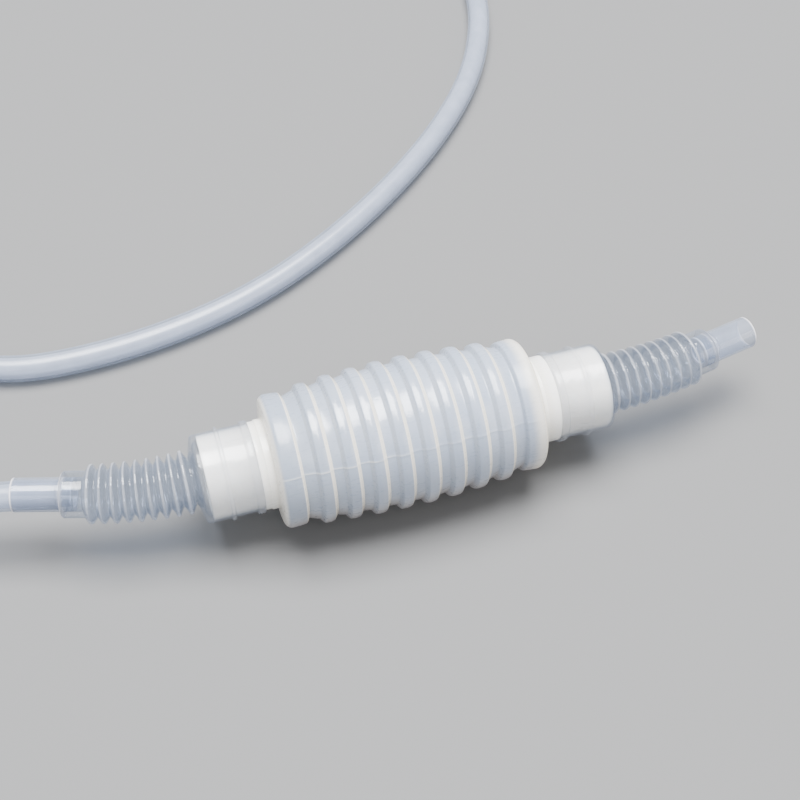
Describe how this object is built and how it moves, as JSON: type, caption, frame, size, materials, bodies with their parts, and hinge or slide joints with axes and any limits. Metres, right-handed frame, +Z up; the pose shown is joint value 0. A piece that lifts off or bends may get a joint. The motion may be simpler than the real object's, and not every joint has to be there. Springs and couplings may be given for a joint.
{
  "type": "aquarium siphon pump",
  "caption": "Hand-squeezed ribbed bulb siphon pump with check valves in both necks, flexible bellows adaptors, push-in sleeves and a translucent hose.",
  "frame": {"origin": "on the table, under the middle of the pump's length: the bulb's centre line at its middle, dropped to the table", "axes": "+X along the pump's axis from the hose side to the suction side, +Z up, +Y to the side that the hose lies on"},
  "size_m": [0.4239, 0.3036, 0.052],
  "materials": {
    "bulb_plastic": "milky translucent polyethylene, satin gloss",
    "clear_plastic": "clear soft plastic, glossy",
    "sleeve_plastic": "translucent, glossy",
    "hose_plastic": "translucent, faintly blue, satin",
    "valve_plastic": "white moulded polypropylene",
    "seal_rubber": "soft, matte",
    "tie_plastic": "white strap"
  },
  "bodies": {
    "pump": {"bulb": "bulb_plastic", "outlet_valve_body": "valve_plastic", "outlet_valve_cage": "valve_plastic", "outlet_adaptor": "clear_plastic"},
    "outlet_disc": {"outlet_valve_disc": "valve_plastic", "outlet_valve_seal": "seal_rubber"},
    "outlet_end": {"outlet_sleeve": "sleeve_plastic", "hose_lead": "hose_plastic", "hose_run": "hose_plastic", "hose_coil": "hose_plastic", "hose_tie": "tie_plastic"},
    "inlet_half": {"inlet_valve_body": "valve_plastic", "inlet_valve_cage": "valve_plastic", "inlet_adaptor": "clear_plastic"},
    "inlet_disc": {"inlet_valve_disc": "valve_plastic", "inlet_valve_seal": "seal_rubber"},
    "inlet_end": {"inlet_sleeve": "sleeve_plastic"}
  },
  "joints": [
    {"name": "bulb_squeeze", "type": "slide", "parent": "pump", "child": "inlet_half", "axis": [-1, 0, 0], "range_m": [0, 0.012], "stiffness_N_per_m": 1200, "deforming": ["bulb"]},
    {"name": "outlet_flex", "type": "hinge", "parent": "pump", "child": "outlet_end", "pos_m": [-0.09024, 0.0012, 0.026], "axis": [0, 0, 1], "range_deg": [-25, 30], "stiffness_Nm_per_rad": 0.05, "deforming": ["outlet_adaptor"]},
    {"name": "inlet_flex", "type": "hinge", "parent": "inlet_half", "child": "inlet_end", "pos_m": [0.09087, 0.00085, 0.026], "axis": [0, 0, 1], "range_deg": [-35, 30], "stiffness_Nm_per_rad": 0.05, "deforming": ["inlet_adaptor"]},
    {"name": "outlet_valve", "type": "slide", "parent": "pump", "child": "outlet_disc", "axis": [-1, 0, 0], "range_m": [0, 0.0025]},
    {"name": "inlet_valve", "type": "slide", "parent": "inlet_half", "child": "inlet_disc", "axis": [-1, 0, 0], "range_m": [0, 0.0025]}
  ]
}
